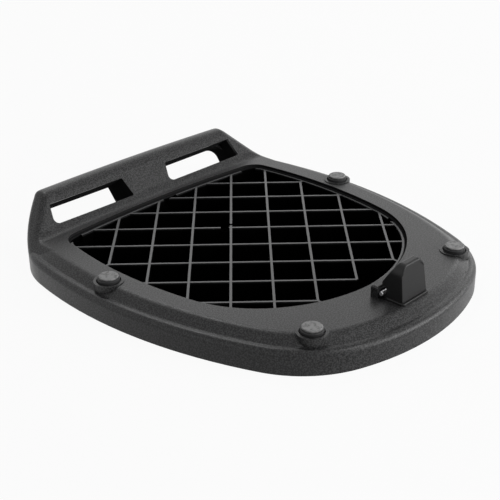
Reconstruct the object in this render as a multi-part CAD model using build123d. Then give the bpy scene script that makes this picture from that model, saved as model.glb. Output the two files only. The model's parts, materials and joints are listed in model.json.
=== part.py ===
"""Universal mounting plate for a motorcycle top case.

The plate is one ribbed moulding: a raised ring round a lattice pan, a skirt, and a slotted
bar at the front. A latch tower is screwed to its rear, a steel striker pin lies in front of
the tower, and four rubber buffers are pushed into collars in the ring.
Origin: middle of the plate on the ground. +Y points to the front bar, +Z points up.
"""
import os
from math import atan2, cos, degrees, hypot, radians, sin, sqrt, tan

from build123d import *

# Plate outline, seen from above
plate_length = 268.0
plate_half_width = 119.0
widest_setback = 100.0
rear_arc_radius = 155.0
rear_corner_radius = 70.0
side_arc_radius = 300.0
front_corner_radius = 62.0
front_bow_radius = 1600.0
front_outline_reach = 2.0

# Section of the ring, from the ground up
ring_top_z = 19.5
bead_z = 14.8
bead_radius = 3.8
bead_width = 5.2
slope_inset = 12.0
slope_shoulder_radius = 6.0
slope_foot_radius = 2.0
wall = 2.6
bar_wall = 3.3

# Opening in the ring and the pan below it
opening_rear_margin = 43.3
opening_side_margin = 25.5
opening_rear_radius = 98.0
opening_rear_corner_radius = 73.0
opening_front_margin = 37.0
opening_front_corner_radius = 13.0
opening_front_bow_radius = 800.0
ledge_drop = 1.9
ledge_width = 1.4
step_drop = 0.6
step_width = 1.5
pan_wall = 0.6
pan_floor = 2.5

# Lattice, set at 45 degrees to the plate
lattice_pitch = 25.0
lattice_rib = 1.5
lattice_centre_setback = 106.0
lattice_centre_line = 3
lattice_lines = 8
lattice_overrun = 3
socket_radius = 2.8
socket_bore_radius = 1.3
socket_drop = 2.1
socket_shift = 4.0
notch_length = 2.6
notch_shift = 4.4
notch_depth = 2.0

# Cover clip pockets in the wall above the lattice
clip_width = 12.0
clip_depth = 2.3
clip_height = 5.0
clip_places = ((-80.0, 41.0), (6.0, 41.0), (80.0, 41.0), (-85.0, 179.0), (85.0, 179.0))

# Ribs under the ring
stiffener_thickness = 2.0
stiffener_count = 16
stiffener_centre_y = 12.5
stiffener_lift = 3.0

# Front bar
crest_radius = 9.5
crest_top_z = 41.1
panel_angle = 54.0
front_lean = 21.4
panel_blend_radius = 9.0
shoulder_foot = 3.5
shoulder_edge_radius = 5.0
bar_start_setback = 64.0
ring_end_setback = 30.0
bar_spread = 6.0

# Slots in the bar, measured in the plane of the panel
slot_rear_offset = 3.8
slot_width = 14.0
slot_inner_front = 19.9
slot_inner_rear = 16.5
slot_front_margin = 37.3
slot_rear_margin = 34.4
slot_round_corner = 3.8
slot_sharp_corner = 0.8
slot_exit_depth = 10.0
slot_exit_corner = 10.0
slot_wall = 2.4

# Rack bolts through the pan floor
bolt_hole_radius = 3.25
bolt_pad_radius = 8.0
bolt_pad_height = 1.5
bolt_cells_across = 3
bolt_front_row = 4
bolt_rear_row = 10

# Rubber buffers and their collars
front_buffer_inset = 14.1
front_buffer_setback = 109.0
rear_buffer_inset = 52.0
rear_buffer_margin = 32.9
collar_radius = 9.2
collar_rise = 0.6
collar_pocket_radius = 7.4
collar_pocket_depth = 2.5
collar_depth = 7.0
buffer_flange_radius = 6.7
buffer_disc_radius = 6.0
buffer_disc_height = 1.3
buffer_rise = 3.7
buffer_edge = 0.4
buffer_stem_radius = 2.9
buffer_barb_radius = 4.2
buffer_barb_height = 2.6
stem_clearance = 0.15

# Latch tower
tower_half_width = 11.4
tower_side_draft = 3.2
tower_rear_margin = 13.7
tower_rear_lean = 7.5
tower_height = 23.2
tower_ridge_width = 4.4
tower_beak_reach = 3.1
tower_beak_low = 8.4
tower_beak_high = 10.6
tower_top_radius = 1.6
tower_arch_radius = 8.0
tower_crown = 0.6
tower_edge_radius = 1.0
tower_lip_height = 1.4
tower_lip_depth = 0.45
tower_wall = 2.2
tower_flange_width = 0.8
tower_flange_height = 1.5
tower_flange_corner = 1.6
tower_flange_edge = 0.6
tower_boss_radius = 3.0
tower_boss_x = 7.2
latch_mouth_width = 8.0
latch_mouth_low = 5.6
latch_mouth_high = 13.5
screw_shank_radius = 1.5
screw_head_radius = 3.0
screw_head_height = 2.2
screw_length = 10.0
screw_clearance = 0.1

# Striker pin and the low wall in front of it
striker_radius = 1.45
striker_height = 3.5
striker_half_length = 13.6
striker_gap = 3.4
striker_clearance = 0.05
stop_wall_margin = 34.6
stop_wall_thickness = 5.0
stop_wall_height = 7.2
stop_wall_half_width = 14.4
stop_wall_chamfer = 0.9
cheek_inner_x = 7.0
cheek_width = 3.6
cheek_height = 4.4

# Allowances of the cutting tools beyond the piece
below_ground = 1.0
overlap = 1.0
match = 0.01

# Derived places
front_y = plate_length / 2
rear_y = -plate_length / 2
widest_y = front_y - widest_setback
opening_half_width = plate_half_width - opening_side_margin
opening_front_y = front_y - opening_front_margin
opening_rear_y = rear_y + opening_rear_margin
ledge_z = ring_top_z - ledge_drop
lattice_z = ledge_z - step_drop
pan_inset = ledge_width + step_width
lattice_step = lattice_pitch / sqrt(2)
lattice_centre_y = front_y - lattice_centre_setback
lattice_origin_y = lattice_centre_y + 2 * lattice_centre_line * lattice_step
socket_place = (-socket_shift / sqrt(2), lattice_centre_y + socket_shift / sqrt(2))
notch_place = (notch_shift / sqrt(2), lattice_centre_y + notch_shift / sqrt(2))
bar_start_y = front_y - bar_start_setback
ring_end_y = front_y - ring_end_setback
shoulder_reach = plate_half_width + shoulder_foot
slot_outer_front = plate_half_width - slot_front_margin
slot_outer_rear = plate_half_width - slot_rear_margin
front_buffer_x = plate_half_width - front_buffer_inset
front_buffer_y = front_y - front_buffer_setback
rear_buffer_x = plate_half_width - rear_buffer_inset
rear_buffer_y = rear_y + rear_buffer_margin
tower_rear_y = rear_y + tower_rear_margin
stop_wall_front_y = rear_y + stop_wall_margin
tower_front_y = stop_wall_front_y - stop_wall_thickness - striker_gap
tower_middle_y = (tower_front_y + tower_rear_y) / 2
striker_y = tower_front_y + striker_gap / 2
striker_z = ring_top_z + striker_height
crest_y = front_y - crest_radius
crest_z = crest_top_z - crest_radius
build_height = crest_top_z + 2 * shoulder_edge_radius


def polar(centre, radius, angle):
    """Point at an angle in degrees on a circle."""
    return (centre[0] + radius * cos(radians(angle)), centre[1] + radius * sin(radians(angle)))


def heading(start, end):
    """Angle in degrees of the line from one point to another."""
    return degrees(atan2(end[1] - start[1], end[0] - start[0]))


def blend_centre(first, first_radius, second, second_radius, radius, toward):
    """Centre of the right-hand arc that touches two larger circles from inside, to the front or rear."""
    reach_1 = first_radius - radius
    reach_2 = second_radius - radius
    span = hypot(second[0] - first[0], second[1] - first[1])
    along = (reach_1 ** 2 - reach_2 ** 2 + span ** 2) / (2 * span)
    aside = sqrt(reach_1 ** 2 - along ** 2)
    base = heading(first, second)
    choices = [polar(first, hypot(along, aside), base + s * degrees(atan2(aside, along))) for s in (1, -1)]
    return max(choices, key=lambda centre: toward * centre[1])


def polygon(*points):
    """Flat face with straight sides."""
    return make_face(Polyline(*points, close=True))


def rounded(face, radius, *corners):
    """Flat face with the named corners rounded."""
    picks = [face.vertices().sort_by_distance((u, v, 0))[0] for u, v in corners]
    return fillet(picks, radius)


class Outline:
    """Closed outline of nine tangent arcs, symmetric about the Y axis."""

    def __init__(self, rear, rear_radius, rear_corner, half_width, front, front_corner, front_radius):
        self.rear_centre = (0.0, rear + rear_radius)
        self.side_centre = (half_width - side_arc_radius, widest_y)
        self.front_centre = (0.0, front - front_radius)
        self.radii = (rear_radius, rear_corner, side_arc_radius, front_corner, front_radius)
        side = (self.side_centre, side_arc_radius)
        rear_blend = blend_centre(self.rear_centre, rear_radius, *side, rear_corner, -1)
        front_blend = blend_centre(self.front_centre, front_radius, *side, front_corner, 1)
        self.centres = (self.rear_centre, rear_blend, self.side_centre, front_blend, self.front_centre)
        rear_turn = heading(self.rear_centre, rear_blend)
        rear_side = heading(self.side_centre, rear_blend)
        front_side = heading(self.side_centre, front_blend)
        front_turn = heading(self.front_centre, front_blend)
        self.angles = (-90.0, rear_turn, rear_side, front_side, front_turn, 90.0)

    def segments(self):
        """Centre, radius and end angles of each arc of the right-hand half."""
        return zip(self.centres, self.radii, self.angles[:-1], self.angles[1:])

    def half(self, inset=0.0):
        """Arcs of the right-hand half, from the rear to the front."""
        arcs = []
        for centre, radius, start, end in self.segments():
            picks = [polar(centre, radius - inset, a) for a in (start, (start + end) / 2, end)]
            arcs.append(ThreePointArc(*picks))
        return Curve() + arcs

    def face(self, inset=0.0):
        """Flat face inside the outline, drawn in by the inset."""
        right = self.half(inset)
        return make_face(right + mirror(right, about=Plane.YZ))

    def prism(self, low, high, inset=0.0):
        """Upright block inside the outline, from one height to another."""
        return Pos(0, 0, low) * extrude(self.face(inset), amount=high - low)

    def bounds_at(self, y):
        """Half width of the outline at one place along the side arc."""
        return self.side_centre[0] + sqrt(side_arc_radius ** 2 - (y - widest_y) ** 2)


plate_outline = Outline(rear_y, rear_arc_radius, rear_corner_radius, plate_half_width,
                        front_y + front_outline_reach, front_corner_radius, front_bow_radius)
opening = Outline(opening_rear_y, opening_rear_radius, opening_rear_corner_radius,
                  opening_half_width, opening_front_y, opening_front_corner_radius, opening_front_bow_radius)


def ring_section(depth):
    """Section of the ring across its width: skirt, bead, slope and flat top, rounded outside."""
    top = ring_top_z - depth
    bead = bead_z - depth
    low = 0.0 if depth == 0 else -below_ground
    fall = atan2(ring_top_z - bead_z, slope_inset - bead_width)
    foot = bead_width + depth * tan(fall / 2)
    start = slope_inset + depth * tan(fall / 2)
    inner = slope_inset + 2 * bead_width + depth
    section = polygon((depth, low), (depth, bead), (foot, bead), (start, top), (inner, top), (inner, low))
    if depth == 0:
        section = rounded(section, bead_radius, (depth, bead))
        section = rounded(section, slope_foot_radius, (foot, bead))
        section = rounded(section, slope_shoulder_radius, (start, top))
    return section


def ring_form(depth):
    """Ring with its section carried round the outline, drawn in by a wall depth."""
    section = ring_section(depth)
    low = section.bounding_box().min.Y
    top = section.bounding_box().max.Y
    core = plate_outline.prism(low, top, slope_inset + bead_width + depth)
    ring = core
    for centre, radius, start, end in plate_outline.segments():
        pole = Axis((*centre, 0), (0, 0, 1))
        begin = (*polar(centre, radius, start), 0)
        inward = (-cos(radians(start)), -sin(radians(start)), 0)
        across = Plane(origin=begin, x_dir=inward, z_dir=(-sin(radians(start)), cos(radians(start)), 0))
        ring += revolve(across * section, pole, revolution_arc=end - start)
    ring += mirror(ring, about=Plane.YZ)
    return ring & Pos(0, ring_end_y - plate_length, 0) * Box(2 * plate_length, 2 * plate_length, build_height)


def bar_section(depth):
    """Section of the front bar: flat, concave blend, panel, round crest, leaning front."""
    slope = radians(panel_angle)
    lean = radians(front_lean)
    radius = crest_radius - depth
    top = ring_top_z - depth
    low = 0.0 if depth == 0 else -below_ground
    panel_top = (crest_y - radius * sin(slope), crest_z + radius * cos(slope))
    fold_y = panel_top[0] - (panel_top[1] - top) / tan(slope)
    run = (panel_blend_radius + depth) * tan(slope / 2)
    blend_start = (fold_y - run, top)
    blend_end = (fold_y + run * cos(slope), top + run * sin(slope))
    front_top = (crest_y + radius * cos(lean), crest_z - radius * sin(lean))
    foot = (front_top[0] - (front_top[1] - low) * tan(lean), low)
    mid = radians((90 + panel_angle - front_lean) / 2)
    crest = (crest_y + radius * cos(mid), crest_z + radius * sin(mid))
    start_y = bar_start_y + depth
    if depth:
        flats = (foot, (start_y, low), (start_y, top), blend_start, blend_end, panel_top, crest, front_top)
        return Plane.YZ * polygon(*flats)
    outline = Curve() + [
        Polyline(foot, (start_y, low), (start_y, top), blend_start),
        TangentArc(blend_start, blend_end, tangent=(1, 0)),
        Line(blend_end, panel_top),
        ThreePointArc(panel_top, crest, front_top),
        Line(front_top, foot),
    ]
    return Plane.YZ * make_face(outline)


def bowed(section):
    """Sweep a section sideways along the bow of the front."""
    axis = Axis((0, front_y - front_bow_radius, 0), (0, 0, 1))
    start = section.rotate(axis, -bar_spread)
    return revolve(start, axis, revolution_arc=2 * bar_spread)


def shoulder_cuts(depth):
    """Wedges that take the two top corners off the bar at 45 degrees."""
    reach = shoulder_reach - depth * sqrt(2)
    wedges = []
    for side in (1, -1):
        wedge = polygon((side * (reach - build_height), build_height), (side * (reach + overlap), -overlap),
                        (side * (reach + overlap), build_height))
        wedges.append(extrude(Plane.XZ * wedge, amount=plate_length, both=True))
    return wedges


def bar_form(depth):
    """Front bar with its rounded outer corners, drawn in by a wall depth."""
    low = 0.0 if depth == 0 else -below_ground
    bar = bowed(bar_section(depth)) & plate_outline.prism(low, build_height, depth)
    for wedge in shoulder_cuts(depth):
        bar -= wedge
    return bar


def on_shoulder(edge):
    """Whether an edge lies in one of the two 45 degree shoulder planes."""
    offsets = [abs(abs(p.X) + p.Z - shoulder_reach) for p in (edge @ 0, edge @ 0.5, edge @ 1)]
    return max(offsets) < match


def outer_form():
    """Whole outer form of the moulding before its openings, with rounded shoulders."""
    bar = bar_form(0)
    top_edges = bar.edges().filter_by(
        lambda e: on_shoulder(e) and min((e @ 0).Z, (e @ 1).Z) > ring_top_z - match)
    bar = fillet(top_edges, shoulder_edge_radius)
    outer = ring_form(0) + bar
    side_edges = outer.edges().filter_by(on_shoulder).sort_by(SortBy.LENGTH)[-2:]
    return fillet(side_edges, shoulder_edge_radius)


def hollow_form():
    """Space under the ring and the bar, outside the pan."""
    return ring_form(wall) + bar_form(bar_wall) - opening.prism(-2 * overlap, build_height, -pan_wall)


def lattice_point(i, j):
    """Crossing of one rib of each family."""
    return (lattice_step * (i - j), lattice_origin_y - lattice_step * (i + j))


def rib_between(start, end, low, high):
    """Upright rib between two points seen from above."""
    length = hypot(end[0] - start[0], end[1] - start[1])
    middle = ((start[0] + end[0]) / 2, (start[1] + end[1]) / 2, (low + high) / 2)
    return Pos(*middle) * Rot(0, 0, heading(start, end)) * Box(length, lattice_rib, high - low)


def lattice_ribs():
    """Ribs of the lattice, ending on the pan wall or at a crossing near it."""
    long_end = lattice_lines + lattice_overrun
    ends = {0: (-long_end, 5), 5: (0, 7), 6: (-long_end, 6), 7: (-long_end, 5)}
    low = pan_floor / 2
    ribs = []
    for i in range(lattice_lines):
        first, last = ends.get(i, (-long_end, long_end))
        for swap in (False, True):
            points = [(i, first), (i, last)]
            picks = [lattice_point(b, a) if swap else lattice_point(a, b) for a, b in points]
            ribs.append(rib_between(*picks, low, lattice_z))
    for side in (1, -1):
        side_node = (side * lattice_step * 5, lattice_origin_y - lattice_step * 5)
        rear_node = (side * lattice_step * 2, lattice_origin_y - lattice_step * 12)
        ribs.append(rib_between(side_node, (side * opening_half_width, side_node[1]), low, lattice_z))
        ribs.append(rib_between(rear_node, (rear_node[0], opening_rear_y), low, lattice_z))
    return ribs


def bolt_places():
    """Centres of the four rack bolt holes, each in the middle of a lattice cell."""
    across = bolt_cells_across * lattice_step
    rows = [lattice_origin_y - row * lattice_step for row in (bolt_front_row, bolt_rear_row)]
    return [(side * across, y) for side in (-1, 1) for y in rows]


def buffer_places():
    """Centres of the four buffers, by name."""
    return {
        "front_left": (-front_buffer_x, front_buffer_y),
        "front_right": (front_buffer_x, front_buffer_y),
        "rear_left": (-rear_buffer_x, rear_buffer_y),
        "rear_right": (rear_buffer_x, rear_buffer_y),
    }


collar_top_z = ring_top_z + collar_rise
collar_seat_z = collar_top_z - collar_pocket_depth
collar_low_z = collar_top_z - collar_depth


def upright(x, y, low, high, radius):
    """Upright round bar between two heights."""
    return Pos(x, y, (low + high) / 2) * Cylinder(radius, high - low)


def slot_plane():
    """Plane of the panel, with its origin on the fold where the panel leaves the ring's flat top."""
    slope = radians(panel_angle)
    panel_top_y = crest_y - crest_radius * sin(slope)
    panel_top_z = crest_z + crest_radius * cos(slope)
    fold_y = panel_top_y - (panel_top_z - ring_top_z) / tan(slope)
    return Plane(origin=(0, fold_y, ring_top_z), x_dir=(1, 0, 0), z_dir=(0, -sin(slope), cos(slope)))


def slot_shape(side, outer_corner):
    """Outline of one slot in the plane of the panel, rounded at its left rear corner."""
    rear = slot_rear_offset
    front = slot_rear_offset + slot_width
    left, right = sorted((side * slot_inner_rear, side * slot_outer_rear))
    inner = (side * slot_inner_front, front)
    outer = (side * slot_outer_front, front)
    shape = polygon(inner, outer, (side * slot_outer_rear, rear), (side * slot_inner_rear, rear))
    shape = rounded(shape, outer_corner, outer)
    shape = rounded(shape, slot_round_corner, (left, rear))
    return rounded(shape, slot_sharp_corner, inner, (right, rear))


def slot_space(side):
    """Slot through the bar, square to the panel; its outer front corner is filled near the exit."""
    upper = extrude(slot_plane() * slot_shape(side, slot_sharp_corner), amount=slot_exit_depth, both=True)
    way_out = Pos(0, 0, -slot_exit_depth) * slot_shape(side, slot_exit_corner)
    return upper + extrude(slot_plane() * way_out, amount=-2 * crest_top_z)


def slot_sleeve(side):
    """Solid left standing round one slot for its walls."""
    shape = offset(slot_shape(side, slot_sharp_corner), amount=slot_wall)
    return extrude(slot_plane() * shape, amount=2 * crest_top_z, both=True)


def stiffeners():
    """Upright ribs that tie the skirt to the pan wall, clear of the buffers."""
    spoke = Box(plate_length, stiffener_thickness, build_height)
    turns = [(i + 0.5) * 180 / stiffener_count for i in range(stiffener_count)]
    centre = Pos(0, stiffener_centre_y, stiffener_lift + build_height / 2)
    ribs = Part() + [centre * Rot(0, 0, turn) * spoke for turn in turns]
    for place in buffer_places().values():
        ribs -= upright(*place, 0, collar_low_z, collar_radius)
    return ribs


def clip_pockets():
    """Blind pockets for the clips of a lattice cover, let into the opening's wall."""
    low = lattice_z - clip_height
    reach = Box(clip_width, clip_width, clip_height)
    pockets = Part() + [Pos(x, front_y - setback, low + clip_height / 2) * reach for x, setback in clip_places]
    pockets &= opening.prism(low, lattice_z, pan_inset - clip_depth)
    return pockets - opening.prism(low - overlap, lattice_z + overlap, pan_inset + overlap / 2)


def stop_wall():
    """Low wall in front of the striker pin, and the cheeks that hold the pin."""
    low = ring_top_z - overlap
    block = Box(2 * stop_wall_half_width, stop_wall_thickness, stop_wall_height + overlap)
    block = chamfer(block.edges().group_by(Axis.Z)[-1], stop_wall_chamfer)
    parts = Pos(0, stop_wall_front_y - stop_wall_thickness / 2, low + (stop_wall_height + overlap) / 2) * block
    cheek = Box(cheek_width, striker_gap, cheek_height + overlap)
    for side in (1, -1):
        x = side * (cheek_inner_x + cheek_width / 2)
        parts += Pos(x, striker_y, low + (cheek_height + overlap) / 2) * cheek
    bore = Rot(0, 90, 0) * Cylinder(striker_radius + striker_clearance, 2 * stop_wall_half_width)
    return parts - Pos(0, striker_y, striker_z) * bore


def cavity():
    """Empty space under the ring and bar, with the ribs, collars and slot walls left standing."""
    space = hollow_form() - stiffeners()
    for place in buffer_places().values():
        space -= upright(*place, collar_low_z, collar_top_z, collar_radius)
    for side in (1, -1):
        space -= slot_sleeve(side)
    return space


def pan_space():
    """Space above the pan's floor, with the lattice and its socket left standing."""
    lattice = Part() + lattice_ribs()
    lattice -= upright(*socket_place, lattice_z - socket_drop, lattice_z + overlap, socket_radius)
    lattice += upright(*socket_place, 0, lattice_z - socket_drop, socket_radius)
    notch = Rot(0, 0, 45) * Box(notch_length, 2 * lattice_rib, 2 * notch_depth)
    lattice -= Pos(*notch_place, lattice_z) * notch
    for place in bolt_places():
        lattice += upright(*place, 0, pan_floor + bolt_pad_height, bolt_pad_radius)
    space = opening.prism(pan_floor, lattice_z, pan_inset) - lattice
    space += upright(*socket_place, pan_floor, lattice_z, socket_bore_radius)
    space += clip_pockets()
    space += opening.prism(lattice_z, ledge_z, ledge_width)
    return space + opening.prism(ledge_z, ring_top_z + overlap)


def base_plate():
    """The moulded plate with its pan, lattice, bar, collars and stop wall."""
    plate = outer_form()
    for place in buffer_places().values():
        plate += upright(*place, collar_low_z, collar_top_z, collar_radius)
    plate += stop_wall()
    plate -= cavity()
    plate -= pan_space()
    for side in (1, -1):
        plate -= slot_space(side)
        hole = screw_shank_radius + screw_clearance
        plate -= upright(side * tower_boss_x, tower_middle_y, 0, ring_top_z + overlap, hole)
    for place in bolt_places():
        plate -= upright(*place, -below_ground, lattice_z, bolt_hole_radius)
    for place in buffer_places().values():
        plate -= upright(*place, collar_seat_z, collar_top_z + overlap, collar_pocket_radius)
        plate -= upright(*place, collar_low_z - overlap, collar_top_z, buffer_stem_radius + stem_clearance)
    return plate


def tower_block(depth):
    """Solid form of the tower, drawn in by a wall depth."""
    low = ring_top_z if depth == 0 else ring_top_z - 1
    top = ring_top_z + tower_height
    high = top - depth
    lean = tan(radians(tower_rear_lean))
    front = tower_front_y - depth
    rear = tower_rear_y + depth
    rear_top = rear + (high - ring_top_z) * lean
    ridge_front = rear_top + tower_ridge_width - depth
    beak = front + tower_beak_reach
    side = polygon((front, low), (rear, low), (rear_top, high), (ridge_front, high),
                   (beak, ring_top_z + tower_beak_high), (beak, ring_top_z + tower_beak_low + depth),
                   (front, ring_top_z + tower_beak_low + depth - 1))
    side = rounded(side, max(tower_top_radius - depth / 2, 0.4), (rear_top, high), (ridge_front, high))
    half_low = tower_half_width - depth
    half_top = half_low - tower_height * tan(radians(tower_side_draft))
    crown = high + tower_crown
    face = polygon((-half_low, low), (half_low, low), (half_top, crown), (-half_top, crown))
    face = rounded(face, tower_arch_radius - depth, (half_top, crown), (-half_top, crown))
    profile = extrude(Plane.YZ * side, amount=half_low + 1, both=True)
    return profile & extrude(Plane.XZ * face, amount=plate_length, both=True)


def tower_rear_recess():
    """Shallow cut in the tower's rear face that leaves an arched lip at its top."""
    lean = tan(radians(tower_rear_lean))
    high = ring_top_z + tower_height + tower_crown - tower_lip_height - overlap
    half = tower_half_width + overlap
    half_top = half - tower_height * tan(radians(tower_side_draft))
    low = ring_top_z - overlap
    face = polygon((-half, low), (half, low), (half_top, high), (-half_top, high))
    face = rounded(face, tower_arch_radius + overlap, (half_top, high), (-half_top, high))
    rear = tower_rear_y + tower_lip_depth
    rise = high - ring_top_z
    slab = polygon((rear - overlap * lean, low), (rear + rise * lean, high),
                   (rear + rise * lean - tower_wall, high), (rear - tower_wall, low))
    return extrude(Plane.XZ * face, amount=plate_length, both=True) & extrude(
        Plane.YZ * slab, amount=plate_half_width, both=True)


def latch_tower():
    """Hollow latch tower with a base flange, screw bosses and the latch's mouth at its front."""
    tower = tower_block(0)
    rear_edges = tower.edges().filter_by(
        lambda e: e.center().Y < tower_middle_y and abs(e.tangent_at(0.5).Z) > 0.9)
    tower = fillet(rear_edges, tower_edge_radius) - tower_rear_recess()
    flange_rear = tower_rear_y - tower_flange_width
    flange_half = tower_half_width + tower_flange_width
    flange = Box(2 * flange_half, tower_front_y - flange_rear, tower_flange_height)
    flange = fillet(flange.edges().filter_by(Axis.Z), tower_flange_corner)
    flange = fillet(flange.edges().group_by(Axis.Z)[-1], tower_flange_edge)
    tower += Pos(0, (tower_front_y + flange_rear) / 2, ring_top_z + tower_flange_height / 2) * flange
    tower -= tower_block(tower_wall)
    mouth_depth = tower_beak_reach + tower_wall + 1
    mouth = Box(latch_mouth_width, mouth_depth, latch_mouth_high - latch_mouth_low)
    mouth_y = tower_front_y - tower_wall + mouth_depth / 2
    tower -= Pos(0, mouth_y, ring_top_z + (latch_mouth_low + latch_mouth_high) / 2) * mouth
    for side in (1, -1):
        x = side * tower_boss_x
        boss = upright(x, tower_middle_y, ring_top_z, ring_top_z + tower_height, tower_boss_radius)
        tower += boss & tower_block(0)
        hole = screw_shank_radius + screw_clearance
        tower -= upright(x, tower_middle_y, ring_top_z - 1, ring_top_z + screw_length, hole)
    return tower


def tower_screws():
    """The two screws that hold the tower from below."""
    screws = []
    seat = ring_top_z - wall
    for side in (-1, 1):
        shank = upright(side * tower_boss_x, tower_middle_y, seat - screw_head_height / 2,
                        seat + screw_length, screw_shank_radius)
        head = upright(side * tower_boss_x, tower_middle_y, seat - screw_head_height, seat, screw_head_radius)
        screws.append(shank + head)
    return Compound(children=screws)


def striker_pin():
    """Steel pin that the case's latch hooks under."""
    pin = Cylinder(striker_radius, 2 * striker_half_length)
    pin = chamfer(pin.edges(), striker_radius / 5)
    return Pos(0, striker_y, striker_z) * Rot(0, 90, 0) * pin


def buffer(x, y):
    """Rubber buffer with a flange, a raised disc and a stem that snaps through the plate."""
    top = ring_top_z + buffer_rise
    tier = top - buffer_disc_height
    disc = Cylinder(buffer_disc_radius, top - collar_seat_z)
    disc = chamfer(disc.edges().sort_by(Axis.Z)[-1], buffer_edge)
    flange = Cylinder(buffer_flange_radius, tier - collar_seat_z)
    flange = chamfer(flange.edges().sort_by(Axis.Z)[-1], buffer_edge)
    body = Pos(x, y, (top + collar_seat_z) / 2) * disc
    body += Pos(x, y, (tier + collar_seat_z) / 2) * flange
    body += upright(x, y, collar_low_z - buffer_barb_height, collar_seat_z + 1, buffer_stem_radius)
    barb = Cone(buffer_stem_radius, buffer_barb_radius, buffer_barb_height)
    body += Pos(x, y, collar_low_z - buffer_barb_height / 2) * barb
    return body


def build():
    """All pieces of the plate by node name."""
    pieces = {
        "base_plate": base_plate(),
        "latch_tower": latch_tower(),
        "tower_screws": tower_screws(),
        "striker_pin": striker_pin(),
    }
    for name, place in buffer_places().items():
        pieces["buffer_" + name] = buffer(*place)
    return pieces


os.makedirs("parts", exist_ok=True)
for node, piece in build().items():
    export_step(piece, f"parts/{node}.step")
    print(node, "volume", round(piece.volume, 1))
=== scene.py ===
"""Looks of the top case mounting plate: finishes, tower screws, floor, studio light and camera.

The moulded plate, tower, pin and buffers come from the frame with their shapes. This script
gives each a finish, replaces the plain tower screws by screws with a cross recess, and sets
the plate in a pale studio. All lengths are in metres.
"""

import json
import logging
import math
from dataclasses import dataclass, field
from enum import Enum
from typing import Any, Iterable, Sequence

import bpy
from mathutils import Matrix, Vector

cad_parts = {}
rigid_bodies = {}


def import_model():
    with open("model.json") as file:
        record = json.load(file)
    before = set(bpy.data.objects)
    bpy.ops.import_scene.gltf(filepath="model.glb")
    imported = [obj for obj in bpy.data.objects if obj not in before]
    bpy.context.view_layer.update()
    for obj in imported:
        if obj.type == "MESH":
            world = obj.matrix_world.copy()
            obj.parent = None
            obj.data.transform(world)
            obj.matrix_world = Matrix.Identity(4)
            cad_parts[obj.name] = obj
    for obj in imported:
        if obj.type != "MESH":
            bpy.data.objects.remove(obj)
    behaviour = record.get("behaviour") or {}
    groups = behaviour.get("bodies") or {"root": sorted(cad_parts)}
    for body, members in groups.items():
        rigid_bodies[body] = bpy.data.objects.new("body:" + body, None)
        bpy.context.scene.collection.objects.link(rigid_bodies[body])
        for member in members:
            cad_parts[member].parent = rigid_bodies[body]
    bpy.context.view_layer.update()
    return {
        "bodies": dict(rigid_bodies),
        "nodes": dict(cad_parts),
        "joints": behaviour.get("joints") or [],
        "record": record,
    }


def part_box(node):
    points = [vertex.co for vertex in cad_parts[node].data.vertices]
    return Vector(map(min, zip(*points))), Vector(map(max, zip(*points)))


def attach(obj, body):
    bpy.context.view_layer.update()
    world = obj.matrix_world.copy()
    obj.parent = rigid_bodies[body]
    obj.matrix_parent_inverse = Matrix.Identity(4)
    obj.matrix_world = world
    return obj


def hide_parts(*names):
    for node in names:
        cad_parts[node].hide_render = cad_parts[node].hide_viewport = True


MM = 0.001
Colour = tuple[float, float, float]

log = logging.getLogger("plate")


class Value:
    """A number socket that takes part in Python arithmetic by adding Math nodes."""

    def __init__(self, tree: bpy.types.NodeTree, socket: bpy.types.NodeSocket) -> None:
        """Wraps one output socket of a node tree."""
        self.tree = tree
        self.socket = socket

    def _math(self, operation: str, *others: "Value | float",
              first: "Value | float | None" = None) -> "Value":
        """Adds one Math node.

        Args:
            operation: the Math node's operation.
            others: the values after the first.
            first: the first value, this one if left out.

        Returns:
            The result.
        """
        node = self.tree.nodes.new("ShaderNodeMath")
        node.operation = operation
        for socket, value in zip(node.inputs, (self if first is None else first, *others)):
            if isinstance(value, Value):
                self.tree.links.new(value.socket, socket)
            else:
                socket.default_value = value
        return Value(self.tree, node.outputs[0])

    def __add__(self, other: "Value | float") -> "Value":
        """Sum."""
        return self._math("ADD", other)

    __radd__ = __add__

    def __mul__(self, other: "Value | float") -> "Value":
        """Product."""
        return self._math("MULTIPLY", other)

    __rmul__ = __mul__

    def __sub__(self, other: "Value | float") -> "Value":
        """Difference."""
        return self._math("SUBTRACT", other)

    def __rsub__(self, other: float) -> "Value":
        """Difference from a number."""
        return self._math("SUBTRACT", self, first=other)

    def __truediv__(self, other: "Value | float") -> "Value":
        """Quotient."""
        return self._math("DIVIDE", other)

    def __lt__(self, other: "Value | float") -> "Value":
        """One where this value is less than the other."""
        return self._math("LESS_THAN", other)

    def __gt__(self, other: "Value | float") -> "Value":
        """One where this value is more than the other."""
        return self._math("GREATER_THAN", other)

    def smallest(self, other: "Value | float") -> "Value":
        """The lesser of the two."""
        return self._math("MINIMUM", other)

    def largest(self, other: "Value | float") -> "Value":
        """The greater of the two."""
        return self._math("MAXIMUM", other)

    def __abs__(self) -> "Value":
        """Size without its sign."""
        return self._math("ABSOLUTE")

    def between(self, low: float, high: float) -> "Value":
        """One where this value lies between two limits."""
        return (self > low) * (self < high)


Triple = tuple[Value, Value, Value]


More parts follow.
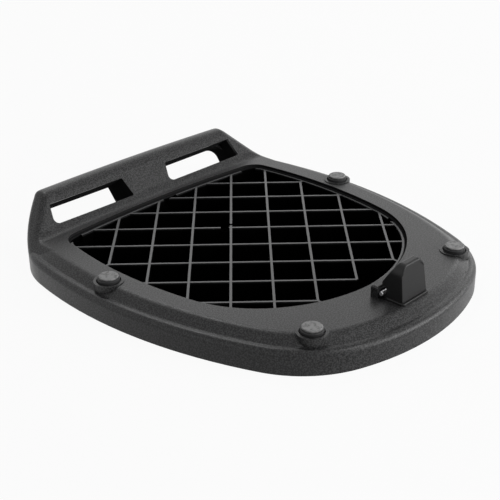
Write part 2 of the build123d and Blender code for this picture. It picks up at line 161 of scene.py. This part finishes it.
class Shader:
    """One material's node tree, ended by one surface or a mix of two."""

    def __init__(self, name: str) -> None:
        """Starts an empty material of that name."""
        self.material = bpy.data.materials.new(name)
        self.material.use_nodes = True
        self.tree = self.material.node_tree
        self.tree.nodes.clear()
        self.output = self.tree.nodes.new("ShaderNodeOutputMaterial")

    def node(self, kind: str, settings: dict[str, Any] | None = None, **inputs: Any) -> bpy.types.Node:
        """Adds any node.

        Args:
            kind: the node's type.
            settings: attributes that are set first.
            inputs: values or links of its sockets, with spaces written as underscores.

        Returns:
            The node.
        """
        node = self.tree.nodes.new(kind)
        for name, value in (settings or {}).items():
            setattr(node, name, value)
        for name, value in inputs.items():
            socket = node.inputs[name.replace("_", " ")]
            self.feed(socket, value)
        return node

    def feed(self, socket: bpy.types.NodeSocket, value: Any) -> None:
        """Links or sets one input socket."""
        if isinstance(value, Value):
            self.tree.links.new(value.socket, socket)
        elif isinstance(value, bpy.types.NodeSocket):
            self.tree.links.new(value, socket)
        else:
            socket.default_value = value

    def value(self, node: bpy.types.Node, output: str | int = 0) -> Value:
        """One output of a node as a number."""
        return Value(self.tree, node.outputs[output])

    def place(self) -> bpy.types.NodeSocket:
        """The surface point in the object's own coordinates."""
        return self.node("ShaderNodeTexCoord").outputs["Object"]

    def axes(self) -> Triple:
        """The surface point's three coordinates as numbers."""
        return self._split(self.place())

    def facing(self) -> Triple:
        """The surface normal's three parts as numbers."""
        return self._split(self.node("ShaderNodeNewGeometry").outputs["Normal"])

    def _split(self, vector: bpy.types.NodeSocket) -> Triple:
        """The three parts of a vector as numbers."""
        parts = self.node("ShaderNodeSeparateXYZ", Vector=vector)
        return self.value(parts, "X"), self.value(parts, "Y"), self.value(parts, "Z")

    def noise(self, size: float, detail: float = 2.0, roughness: float = 0.5) -> Value:
        """Cloudy noise from 0 to 1.

        Args:
            size: width of one blotch in metres.
            detail: how many finer layers it has.
            roughness: how strong the finer layers are.

        Returns:
            The noise.
        """
        return self.value(self.node("ShaderNodeTexNoise", Vector=self.place(), Scale=1 / size,
                                    Detail=detail, Roughness=roughness), "Fac")

    def step(self, value: Value, low: float, high: float) -> Value:
        """Smooth change from 0 below one limit to 1 above the other.

        Args:
            value: the value that changes.
            low: the lower limit.
            high: the upper limit.

        Returns:
            The change from 0 to 1.
        """
        inputs = {"Value": value, "From_Min": low, "From_Max": high}
        return self.value(self.node("ShaderNodeMapRange", {"interpolation_type": "SMOOTHSTEP"}, **inputs))

    def blend(self, amount: Value, first: Any, second: Any) -> bpy.types.NodeSocket:
        """Colour that goes from the first to the second.

        Args:
            amount: 0 for the first colour, 1 for the second.
            first: the colour at 0, as numbers or a socket.
            second: the colour at 1, as numbers or a socket.

        Returns:
            The colour.
        """
        mix = self.node("ShaderNodeMix", {"data_type": "RGBA"})
        self.feed(mix.inputs[0], amount)
        for socket, colour in ((mix.inputs[6], first), (mix.inputs[7], second)):
            self.feed(socket, (*colour, 1.0) if isinstance(colour, tuple) else colour)
        return mix.outputs[2]

    def relief(self, height: Value, depth: float) -> bpy.types.NodeSocket:
        """Bumped normal from a height of 0 to 1 and its depth in metres."""
        bump = self.node("ShaderNodeBump", Height=height, Distance=depth, Strength=1.0)
        return bump.outputs["Normal"]

    def rough(self, noise: Value, middle: float, spread: float) -> Value:
        """Roughness that noise moves round a middle value.

        Args:
            noise: noise from 0 to 1.
            middle: the roughness where the noise is a half.
            spread: how far apart its ends are.

        Returns:
            The roughness.
        """
        return (noise - 0.5) * spread + middle

    def surface(self, **inputs: Any) -> bpy.types.NodeSocket:
        """Adds one Principled shader with these inputs."""
        return self.node("ShaderNodeBsdfPrincipled", **inputs).outputs[0]

    def finish(self, **inputs: Any) -> bpy.types.Material:
        """Adds the Principled shader with these inputs and ends the material."""
        self.tree.links.new(self.surface(**inputs), self.output.inputs["Surface"])
        return self.material

    def finish_two(self, amount: Value, first: bpy.types.NodeSocket,
                   second: bpy.types.NodeSocket) -> bpy.types.Material:
        """Ends the material with a mix of two surfaces.

        Args:
            amount: 0 for the first surface, 1 for the second.
            first: the surface at 0.
            second: the surface at 1.

        Returns:
            The material.
        """
        mix = self.node("ShaderNodeMixShader", Fac=amount)
        self.feed(mix.inputs[1], first)
        self.feed(mix.inputs[2], second)
        self.tree.links.new(mix.outputs[0], self.output.inputs["Surface"])
        return self.material


@dataclass(frozen=True)
class MouldedPlate:
    """Grained black plastic of the plate, with painted shade inside the pan and the slots (a near-black
    surface without reflection) and a painted highlight on the tops of the ribs.
    """

    colour: Colour = (0.002, 0.002, 0.0021)
    pale: Colour = (0.062, 0.062, 0.063)
    # painted shade: near-black in the pan, less dark on the ledge and on the slot walls, where little light
    # reaches
    pan_painted_shade: Colour = (0.0015, 0.0015, 0.0015)
    ledge_painted_shade: Colour = (0.022, 0.022, 0.0225)
    slot_painted_shade: Colour = (0.026, 0.026, 0.0265)
    # painted highlight: the rib tops are paler than the rest of the plate, for the glint of light on them
    rib_painted_highlight: Colour = (0.110, 0.110, 0.112)
    gloss: float = 0.26
    # no reflection on the painted shade in the pan and the slots
    painted_shade_gloss: float = 0.0
    grain_size: float = 0.8 * MM
    grain_detail: float = 3.0
    grain_fineness: float = 0.65
    grain_depth: float = 0.05 * MM
    roughness: float = 0.36
    roughness_spread: float = 0.08
    painted_shade_roughness: float = 0.5
    blotch_size: float = 9.0 * MM
    blotch_share: float = 0.2
    speckle_size: float = 0.85 * MM
    speckle_low: float = 0.40
    speckle_high: float = 0.64
    pan_half_width: float = 97.0 * MM
    pan_rear_reach: float = 100.0 * MM
    pan_front: float = 99.5 * MM
    pan_bottom: float = 0.5 * MM
    lattice_front: float = 96.5 * MM
    ring_top: float = 19.5 * MM
    rib_top: float = 17.0 * MM
    fade_low: float = 15.5 * MM
    fade_high: float = 16.5 * MM
    edge: float = 0.15 * MM
    steepest: float = 0.5
    slot_fold: float = 103.97 * MM
    slot_slope: float = math.radians(54.0)
    slot_rear: float = 3.8 * MM
    slot_front: float = 18.8 * MM
    slot_inner: float = 16.5 * MM
    slot_outer: float = 84.6 * MM
    slot_depth: float = 40.0 * MM

    def material(self) -> bpy.types.Material:
        """Builds the material."""
        shader = Shader("moulded_plate")
        point, facing = shader.axes(), shader.facing()
        on_rib, in_pan = self._pan(point, facing)
        in_slot = self._slot(point, facing)
        skin = self._skin(shader, on_rib)
        inside = self._painted_shade_surface(shader, point[2], in_slot)
        # painted shade: a near-black surface without reflection replaces the grained skin in the pan and on
        # the slot walls
        return shader.finish_two(in_pan.largest(in_slot), skin, inside)

    def _skin(self, shader: Shader, on_rib: Value) -> bpy.types.NodeSocket:
        """The grained surface, with a painted highlight that makes the tops of the ribs paler."""
        grain = shader.noise(self.grain_size, self.grain_detail, self.grain_fineness)
        blotch = shader.noise(self.blotch_size, self.grain_detail)
        speckle = shader.step(shader.noise(self.speckle_size), self.speckle_low, self.speckle_high)
        amount = speckle * (1 - self.blotch_share) + blotch * self.blotch_share
        # painted highlight on the tops of the ribs
        tint = shader.blend(on_rib, shader.blend(amount, self.colour, self.pale), self.rib_painted_highlight)
        return shader.surface(Base_Color=tint, Specular_IOR_Level=self.gloss,
                              Roughness=shader.rough(blotch, self.roughness, self.roughness_spread),
                              Normal=shader.relief(grain, self.grain_depth))

    def _painted_shade_surface(self, shader: Shader, height: Value, in_slot: Value) -> bpy.types.NodeSocket:
        """Painted shade without reflection: black deep in the pan, less dark on the ledge near its top and
        on the slot walls.
        """
        # painted shade, darkest deep in the pan and less dark near its top
        near_top = shader.step(height, self.fade_low, self.fade_high)
        pan = shader.blend(near_top, self.pan_painted_shade, self.ledge_painted_shade)
        return shader.surface(Base_Color=shader.blend(in_slot, pan, self.slot_painted_shade),
                              Roughness=self.painted_shade_roughness, Specular_IOR_Level=self.painted_shade_gloss)

    def _pan(self, point: Triple, facing: Triple) -> tuple[Value, Value]:
        """Where the tops of the lattice's ribs and the rest of the pan are.

        Args:
            point: the surface point.
            facing: the surface normal.

        Returns:
            One on the tops of the ribs, where the painted highlight goes, and one in the rest of the pan,
            where the painted shade goes.
        """
        x, y, z = point
        across = x / self.pan_half_width
        rearward = y.smallest(0.0) / self.pan_rear_reach
        in_plan = (across * across + rearward * rearward < 1.0) * (y < self.pan_front)
        on_rib = in_plan * z.between(self.rib_top - self.edge, self.rib_top + self.edge)
        on_rib = on_rib * (facing[2] > self.steepest) * (y < self.lattice_front)
        in_pan = in_plan * z.between(self.pan_bottom, self.ring_top - self.edge) * (1 - on_rib)
        return on_rib, in_pan

    def _slot(self, point: Triple, facing: Triple) -> Value:
        """Where the walls of the two slots through the bar are.

        Args:
            point: the surface point.
            facing: the surface normal.

        Returns:
            One on the walls, where the painted shade goes.
        """
        along, rise = math.cos(self.slot_slope), math.sin(self.slot_slope)
        run, height = point[1] - self.slot_fold, point[2] - self.ring_top
        up_panel = run * along + height * rise
        depth = run * rise - height * along
        toward = abs(facing[1] * rise - facing[2] * along)
        inside = up_panel.between(self.slot_rear - self.edge, self.slot_front + self.edge)
        inside = inside * abs(point[0]).between(self.slot_inner - self.edge, self.slot_outer + self.edge)
        return inside * depth.between(2 * self.edge, self.slot_depth) * (toward < self.steepest)


@dataclass(frozen=True)
class SatinPlastic:
    """Finer satin black plastic of the latch tower."""

    colour: Colour = (0.008, 0.008, 0.0082)
    pale: Colour = (0.010, 0.010, 0.01025)
    gloss: float = 0.22
    cloud_size: float = 6.0 * MM
    grain_size: float = 0.5 * MM
    grain_depth: float = 0.03 * MM
    roughness: float = 0.36
    roughness_spread: float = 0.1

    def material(self) -> bpy.types.Material:
        """Builds the material."""
        shader = Shader("satin_tower")
        cloud = shader.noise(self.cloud_size)
        return shader.finish(Base_Color=shader.blend(cloud, self.colour, self.pale),
                             Roughness=shader.rough(cloud, self.roughness, self.roughness_spread),
                             Specular_IOR_Level=self.gloss,
                             Normal=shader.relief(shader.noise(self.grain_size), self.grain_depth))


@dataclass(frozen=True)
class BufferRubber:
    """Dull black rubber of the buffers, paler in patches on the top tier."""

    colour: Colour = (0.014, 0.014, 0.0145)
    top_pale_colour: Colour = (0.30, 0.30, 0.30)
    gloss: float = 0.35
    tier_height: float = 21.9 * MM
    tier_rise: float = 1.2 * MM
    patch_size: float = 2.2 * MM
    patch_detail: float = 3.0
    patch_fineness: float = 0.6
    patch_low: float = 0.30
    patch_high: float = 0.60
    least_top_paleness: float = 0.4
    grain_size: float = 0.9 * MM
    grain_depth: float = 0.06 * MM
    roughness: float = 0.6
    roughness_spread: float = 0.15

    def material(self) -> bpy.types.Material:
        """Builds the material."""
        shader = Shader("buffer_rubber")
        cloud = shader.noise(self.patch_size, self.patch_detail, self.patch_fineness)
        patch = shader.step(cloud, self.patch_low, self.patch_high)
        top = shader.step(shader.axes()[2], self.tier_height, self.tier_height + self.tier_rise)
        top_paleness = top * (patch * (1 - self.least_top_paleness) + self.least_top_paleness)
        grain = shader.noise(self.grain_size)
        return shader.finish(Base_Color=shader.blend(top_paleness, self.colour, self.top_pale_colour),
                             Roughness=shader.rough(grain, self.roughness, self.roughness_spread),
                             Specular_IOR_Level=self.gloss,
                             Normal=shader.relief(grain, self.grain_depth))


@dataclass(frozen=True)
class DrawnSteel:
    """Bright steel with fine drawing lines along X."""

    name: str
    colour: Colour = (0.62, 0.62, 0.63)
    dull_share: float = 0.8
    roughness: float = 0.28
    roughness_spread: float = 0.2
    line_size: float = 0.25 * MM
    line_stretch: float = 0.04
    line_depth: float = 0.006 * MM

    def material(self) -> bpy.types.Material:
        """Builds the material."""
        shader = Shader(self.name)
        stretched = shader.node("ShaderNodeMapping", Vector=shader.place(),
                                Scale=(self.line_stretch, 1.0, 1.0))
        lines = shader.value(shader.node("ShaderNodeTexNoise", Vector=stretched.outputs[0],
                                         Scale=1 / self.line_size, Detail=2.0), "Fac")
        dull = tuple(self.dull_share * part for part in self.colour)
        return shader.finish(Base_Color=shader.blend(lines, dull, self.colour), Metallic=1.0,
                             Roughness=shader.rough(lines, self.roughness, self.roughness_spread),
                             Normal=shader.relief(lines, self.line_depth))


def wear_finish(piece: bpy.types.Object, material: bpy.types.Material) -> None:
    """Gives every slot of a piece the same material."""
    if not piece.material_slots:
        piece.data.materials.append(material)
    for slot in piece.material_slots:
        slot.material = material


def deselect() -> None:
    """Leaves object mode with nothing selected."""
    if bpy.context.object and bpy.context.object.mode != "OBJECT":
        bpy.ops.object.mode_set(mode="OBJECT")
    bpy.ops.object.select_all(action="DESELECT")


def only(piece: bpy.types.Object) -> bpy.types.Object:
    """Makes one piece the only selected and the active one."""
    deselect()
    piece.select_set(True)
    bpy.context.view_layer.objects.active = piece
    return piece


def settle(piece: bpy.types.Object) -> bpy.types.Object:
    """Puts a piece's place in its mesh, so that its object sits at the origin."""
    piece.data.transform(piece.matrix_world)
    piece.matrix_world = Matrix.Identity(4)
    return piece


def add_modifier(piece: bpy.types.Object, kind: str, **settings: Any) -> None:
    """Adds a modifier to a piece and applies it.

    Args:
        piece: the piece.
        kind: the modifier's type.
        settings: its attributes.
    """
    only(piece)
    modifier = piece.modifiers.new(kind.lower(), kind)
    for name, value in settings.items():
        setattr(modifier, name, value)
    bpy.ops.object.modifier_apply(modifier=modifier.name)


@dataclass
class MouldedPieces:
    """The plate, tower, pin and buffers, which keep the frame's shapes."""

    frame: dict[str, Any]
    finishes: dict[str, Any] = field(default_factory=lambda: {
        "base_plate": MouldedPlate(),
        "latch_tower": SatinPlastic(),
        "striker_pin": DrawnSteel("pin_steel"),
        "buffer": BufferRubber(),
    })

    def dress(self) -> None:
        """Gives each piece its finish by the start of its name."""
        for start, finish in self.finishes.items():
            material = finish.material()
            for name, piece in self.frame["nodes"].items():
                if name.startswith(start):
                    wear_finish(piece, material)
                    log.info("%s wears %s", name, material.name)


@dataclass
class TowerScrews:
    """The two pan-head screws that hold the tower from below, with a cross recess."""

    head_radius: float = 3.0 * MM
    head_height: float = 2.2 * MM
    shank_radius: float = 1.5 * MM
    edge: float = 0.5 * MM
    recess_width: float = 0.9 * MM
    recess_length: float = 3.4 * MM
    recess_depth: float = 1.2 * MM
    sides: int = 40
    tip_steps: int = 2
    head_steps: int = 3
    smooth_angle: float = math.radians(30)
    least_flatness: float = 0.9

    def build(self) -> bpy.types.Object:
        """Models one screw, copies it to the other boss and joins the pair.

        Returns:
            The pair as one piece.
        """
        low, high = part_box("tower_screws")
        centre = (low + high) / 2
        offset = (high.x - low.x) / 2 - self.head_radius
        left = self._screw(Vector((centre.x - offset, centre.y, low.z)), high.z - low.z)
        right = left.copy()
        right.data = left.data.copy()
        right.data.transform(Matrix.Translation((2 * offset, 0, 0)))
        bpy.context.collection.objects.link(right)
        only(left)
        right.select_set(True)
        bpy.ops.object.join()
        left.name = "tower_screw_pair"
        return left

    def _screw(self, foot: Vector, length: float) -> bpy.types.Object:
        """Models one screw, head down.

        Args:
            foot: middle of the head's underside.
            length: height of the whole screw.

        Returns:
            The screw with its place in its mesh.
        """
        deselect()
        bpy.ops.mesh.primitive_cylinder_add(vertices=self.sides, radius=self.head_radius,
                                            depth=self.head_height,
                                            location=foot + Vector((0, 0, self.head_height / 2)))
        screw = settle(bpy.context.object)
        bpy.ops.object.mode_set(mode="EDIT")
        bpy.ops.mesh.select_mode(type="FACE")
        self._pick_level(screw, foot.z + self.head_height)
        bpy.ops.mesh.inset(thickness=self.head_radius - self.shank_radius)
        bpy.ops.mesh.extrude_region_move(TRANSFORM_OT_translate={"value": (0, 0, length - self.head_height)})
        bpy.ops.mesh.bevel(offset=self.edge, segments=self.tip_steps)
        self._pick_level(screw, foot.z)
        bpy.ops.mesh.bevel(offset=self.edge, segments=self.head_steps)
        bpy.ops.object.mode_set(mode="OBJECT")
        for long_side in (0, 1):
            self._cut_recess(screw, foot, long_side)
        only(screw)
        bpy.ops.object.shade_smooth_by_angle(angle=self.smooth_angle)
        return screw

    def _pick_level(self, screw: bpy.types.Object, level: float) -> None:
        """Selects the flat face at a height, in edit mode.

        Args:
            screw: the screw.
            level: the face's height.
        """
        bpy.ops.mesh.select_all(action="DESELECT")
        bpy.ops.object.mode_set(mode="OBJECT")
        for face in screw.data.polygons:
            at_level = abs(face.center.z - level) < self.edge / 4
            face.select = at_level and abs(face.normal.z) > self.least_flatness
        bpy.ops.object.mode_set(mode="EDIT")

    def _cut_recess(self, screw: bpy.types.Object, foot: Vector, long_side: int) -> None:
        """Cuts one slot of the cross recess.

        Args:
            screw: the screw.
            foot: middle of the head's underside.
            long_side: 0 for a slot along X, 1 for one along Y.
        """
        size = [self.recess_width, self.recess_width, 2 * self.recess_depth]
        size[long_side] = self.recess_length
        deselect()
        bpy.ops.mesh.primitive_cube_add(size=1, location=foot, scale=size)
        cutter = settle(bpy.context.object)
        add_modifier(screw, "BOOLEAN", object=cutter, operation="DIFFERENCE", solver="EXACT")
        bpy.data.objects.remove(cutter)


class Side(Enum):
    """Where a studio lamp stands, as a direction from the plate."""

    FRONT_HIGH = (0.10, -0.68, 0.72)
    BACK_HIGH = (0.25, 0.52, 0.82)
    BACK = (0.30, 1.00, 0.62)
    BACK_LEFT = (-0.85, 0.75, 0.55)
    BACK_RIGHT = (0.80, 0.65, 0.50)
    RIGHT = (1.00, 0.12, 0.42)
    RIGHT_FRONT = (0.95, -0.75, 0.22)
    FRONT_LOW = (0.45, -1.00, 0.20)
    LEFT = (-1.00, 0.10, 0.35)


@dataclass(frozen=True)
class Softbox:
    """A square area lamp that faces the plate."""

    side: Side
    watts: float
    size: float
    distance: float = 1.3

    def build(self) -> None:
        """Adds the lamp."""
        data = bpy.data.lights.new(f"softbox_{self.side.name.lower()}", "AREA")
        data.energy = self.watts
        data.size = self.size
        lamp = bpy.data.objects.new(data.name, data)
        direction = Vector(self.side.value).normalized()
        lamp.location = direction * self.distance
        lamp.rotation_euler = direction.to_track_quat("Z", "Y").to_euler()
        bpy.context.collection.objects.link(lamp)


@dataclass
class Studio:
    """Pale floor, soft lamps, white surroundings and the camera."""

    softboxes: Sequence[Softbox] = (
        Softbox(Side.FRONT_HIGH, 2.8, 0.2),
        Softbox(Side.BACK_HIGH, 2.3, 0.25),
        Softbox(Side.BACK, 1.1, 0.9),
        Softbox(Side.BACK_LEFT, 0.6, 0.6),
        Softbox(Side.BACK_RIGHT, 0.8, 0.7),
        Softbox(Side.RIGHT, 1.9, 0.6),
        Softbox(Side.RIGHT_FRONT, 5.5, 0.8),
        Softbox(Side.FRONT_LOW, 12.5, 0.9),
        Softbox(Side.LEFT, 0.8, 0.6),
    )
    world_level: float = 0.03
    floor_size: float = 8.0
    floor_colour: Colour = (0.80, 0.80, 0.80)
    floor_white: float = 0.94
    camera_place: Vector = field(default_factory=lambda: Vector((-0.43299, -0.41459, 0.30965)))
    camera_target: Vector = field(default_factory=lambda: Vector((0.00823, 0.01880, 0.00045)))
    camera_roll: float = math.radians(-0.774)
    focal_length: float = 74.88
    sensor_width: float = 36.0

    def build(self) -> None:
        """Adds all of the studio."""
        for softbox in self.softboxes:
            softbox.build()
        self._floor()
        self._surroundings()
        self._camera()
        log.info("studio with %d softboxes", len(self.softboxes))

    def _floor(self) -> None:
        """Adds the floor, nearly white to the camera but with the plate's shadow."""
        deselect()
        bpy.ops.mesh.primitive_plane_add(size=self.floor_size)
        floor = bpy.context.object
        floor.name = "studio_floor"
        shader = Shader("pale_floor")
        matt = shader.node("ShaderNodeBsdfDiffuse", Color=(*self.floor_colour, 1.0))
        white = shader.node("ShaderNodeEmission", Color=(1.0, 1.0, 1.0, 1.0), Strength=1.0)
        amount = self._seen(shader.tree) * self.floor_white
        wear_finish(floor, shader.finish_two(amount, matt.outputs[0], white.outputs[0]))

    def _seen(self, tree: bpy.types.NodeTree) -> Value:
        """One for rays from the camera and for mirrored or refracted rays, which see the background."""
        path = tree.nodes.new("ShaderNodeLightPath")
        camera, glossy, through = (Value(tree, path.outputs[f"Is {kind} Ray"])
                                   for kind in ("Camera", "Glossy", "Transmission"))
        return camera.largest(glossy).largest(through)

    def _surroundings(self) -> None:
        """Sets the world: white to the camera, dim as a light."""
        world = bpy.data.worlds.new("studio_world")
        world.use_nodes = True
        bpy.context.scene.world = world
        tree = world.node_tree
        background = tree.nodes["Background"]
        level = self._seen(tree) * (1 - self.world_level) + self.world_level
        tree.links.new(level.socket, background.inputs["Strength"])
        background.inputs["Color"].default_value = (1.0, 1.0, 1.0, 1.0)

    def _camera(self) -> None:
        """Sets the camera at the photograph's angle."""
        data = bpy.data.cameras.new("camera")
        data.lens = self.focal_length
        data.sensor_width = self.sensor_width
        camera = bpy.data.objects.new("camera", data)
        look = self.camera_target - self.camera_place
        turn = look.to_track_quat("-Z", "Y").to_matrix() @ Matrix.Rotation(self.camera_roll, 3, "Z")
        camera.location = self.camera_place
        camera.rotation_euler = turn.to_euler()
        bpy.context.collection.objects.link(camera)
        bpy.context.scene.camera = camera


def main() -> None:
    """Builds the scene in order."""
    logging.basicConfig(level=logging.INFO, format="%(name)s: %(message)s")
    bpy.context.scene.view_settings.view_transform = "Standard"
    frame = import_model()
    MouldedPieces(frame).dress()
    screws = TowerScrews().build()
    wear_finish(screws, DrawnSteel("screw_steel", colour=(0.45, 0.45, 0.46), roughness=0.35).material())
    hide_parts("tower_screws")
    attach(screws, "root")
    log.info("%s made", screws.name)
    Studio().build()


if __name__ == "__main__":
    main()
